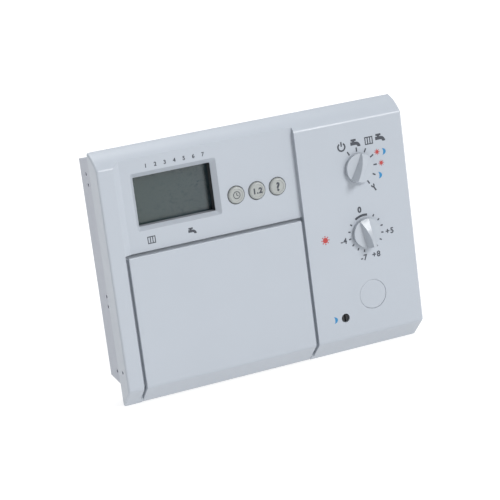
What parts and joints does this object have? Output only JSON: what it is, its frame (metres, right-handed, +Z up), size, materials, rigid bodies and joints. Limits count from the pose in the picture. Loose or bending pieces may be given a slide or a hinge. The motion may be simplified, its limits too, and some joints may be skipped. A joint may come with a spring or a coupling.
{
  "type": "programmable timer",
  "caption": "Flat heating-boiler timer unit with a display, push buttons, two turning dials and a drop-down door over its setting keys.",
  "frame": {"origin": "centre of the four fixing holes, on the flat rear face", "axes": "+X to the right as seen from the front, +Y out of the rear face, +Z up"},
  "size_m": [0.18, 0.0375, 0.1395],
  "materials": {
    "casing_plastic": "fine moulded texture",
    "housing_plastic": "fine moulded texture",
    "dial_plastic": "satin",
    "button_plastic": "satin",
    "shaft_plastic": "natural",
    "black_plastic": "satin",
    "switch_plastic": "satin",
    "terminal_plastic": "satin",
    "display_window": "clear, glossy",
    "display_glass": "smooth grey-green",
    "contact_rubber": "layered, matt",
    "seal_foam": "closed-cell foam",
    "circuit_board": "solder mask",
    "steel": "zinc plated",
    "tin": "tinned",
    "capacitor_sleeve": "printed sleeve"
  },
  "bodies": {
    "casing": {"front_cover": "casing_plastic", "rear_housing": "housing_plastic", "blanking_plug": "casing_plastic", "display_seal": "seal_foam", "display_window": "display_window", "display_cell": "display_glass", "display_carrier": "black_plastic", "contact_strips": "contact_rubber", "circuit_board": "circuit_board", "board_screws": "steel", "case_screws": "steel", "controller_chip": "black_plastic", "controller_leads": "tin", "clock_crystal": "tin", "backup_cell": "steel", "backup_cell_holder": "black_plastic", "capacitors": "capacitor_sleeve", "resistors": "black_plastic", "terminal_block": "terminal_plastic", "terminal_screws": "tin", "mode_switch_body": "black_plastic", "offset_potentiometer_body": "steel", "night_adjuster_body": "switch_plastic", "button_switch_bodies": "switch_plastic", "key_switch_bodies": "switch_plastic"},
    "door": {"door": "casing_plastic", "door_hinge_pins": "steel"},
    "mode_dial": {"mode_dial": "dial_plastic", "mode_shaft": "shaft_plastic"},
    "offset_dial": {"offset_dial": "dial_plastic", "offset_shaft": "shaft_plastic"},
    "night_adjuster": {"night_adjuster": "black_plastic"},
    "clock_button": {"clock_button": "button_plastic", "clock_button_plunger": "switch_plastic"},
    "program_button": {"program_button": "button_plastic", "program_button_plunger": "switch_plastic"},
    "info_button": {"info_button": "button_plastic", "info_button_plunger": "switch_plastic"},
    "day_key": {"day_key": "button_plastic", "day_key_plunger": "switch_plastic"},
    "minus_key": {"minus_key": "button_plastic", "minus_key_plunger": "switch_plastic"},
    "plus_key": {"plus_key": "button_plastic", "plus_key_plunger": "switch_plastic"},
    "heating_key": {"heating_key": "button_plastic", "heating_key_plunger": "switch_plastic"},
    "hot_water_key": {"hot_water_key": "button_plastic", "hot_water_key_plunger": "switch_plastic"},
    "reset_key": {"reset_key": "button_plastic", "reset_key_plunger": "switch_plastic"}
  },
  "joints": [
    {"name": "door_hinge", "type": "hinge", "parent": "casing", "child": "door", "pos_m": [-0.0287, -0.0208, -0.0675], "axis": [1, 0, 0], "range_deg": [0, 100]},
    {"name": "mode_turn", "type": "hinge", "parent": "casing", "child": "mode_dial", "pos_m": [0.0601, -0.03, 0.0297], "axis": [0, 1, 0], "range_deg": [-60, 120]},
    {"name": "offset_turn", "type": "hinge", "parent": "casing", "child": "offset_dial", "pos_m": [0.0601, -0.03, -0.0069], "axis": [0, 1, 0], "range_deg": [-156.8, 179.2]},
    {"name": "night_adjuster_turn", "type": "hinge", "parent": "casing", "child": "night_adjuster", "pos_m": [0.0416, -0.028, -0.0523], "axis": [0, 1, 0], "range_deg": [-135, 135]},
    {"name": "clock_button_press", "type": "slide", "parent": "casing", "child": "clock_button", "axis": [0, 1, 0], "range_m": [0, 0.0006], "stiffness_N_per_m": 600, "springref_m": -0.001},
    {"name": "program_button_press", "type": "slide", "parent": "casing", "child": "program_button", "axis": [0, 1, 0], "range_m": [0, 0.0006], "stiffness_N_per_m": 600, "springref_m": -0.001},
    {"name": "info_button_press", "type": "slide", "parent": "casing", "child": "info_button", "axis": [0, 1, 0], "range_m": [0, 0.0006], "stiffness_N_per_m": 600, "springref_m": -0.001},
    {"name": "day_key_press", "type": "slide", "parent": "casing", "child": "day_key", "axis": [0, 1, 0], "range_m": [0, 0.0006], "stiffness_N_per_m": 600, "springref_m": -0.001},
    {"name": "minus_key_press", "type": "slide", "parent": "casing", "child": "minus_key", "axis": [0, 1, 0], "range_m": [0, 0.0006], "stiffness_N_per_m": 600, "springref_m": -0.001},
    {"name": "plus_key_press", "type": "slide", "parent": "casing", "child": "plus_key", "axis": [0, 1, 0], "range_m": [0, 0.0006], "stiffness_N_per_m": 600, "springref_m": -0.001},
    {"name": "heating_key_press", "type": "slide", "parent": "casing", "child": "heating_key", "axis": [0, 1, 0], "range_m": [0, 0.0006], "stiffness_N_per_m": 600, "springref_m": -0.001},
    {"name": "hot_water_key_press", "type": "slide", "parent": "casing", "child": "hot_water_key", "axis": [0, 1, 0], "range_m": [0, 0.0006], "stiffness_N_per_m": 600, "springref_m": -0.001},
    {"name": "reset_key_press", "type": "slide", "parent": "casing", "child": "reset_key", "axis": [0, 1, 0], "range_m": [0, 0.0006], "stiffness_N_per_m": 600, "springref_m": -0.001}
  ]
}
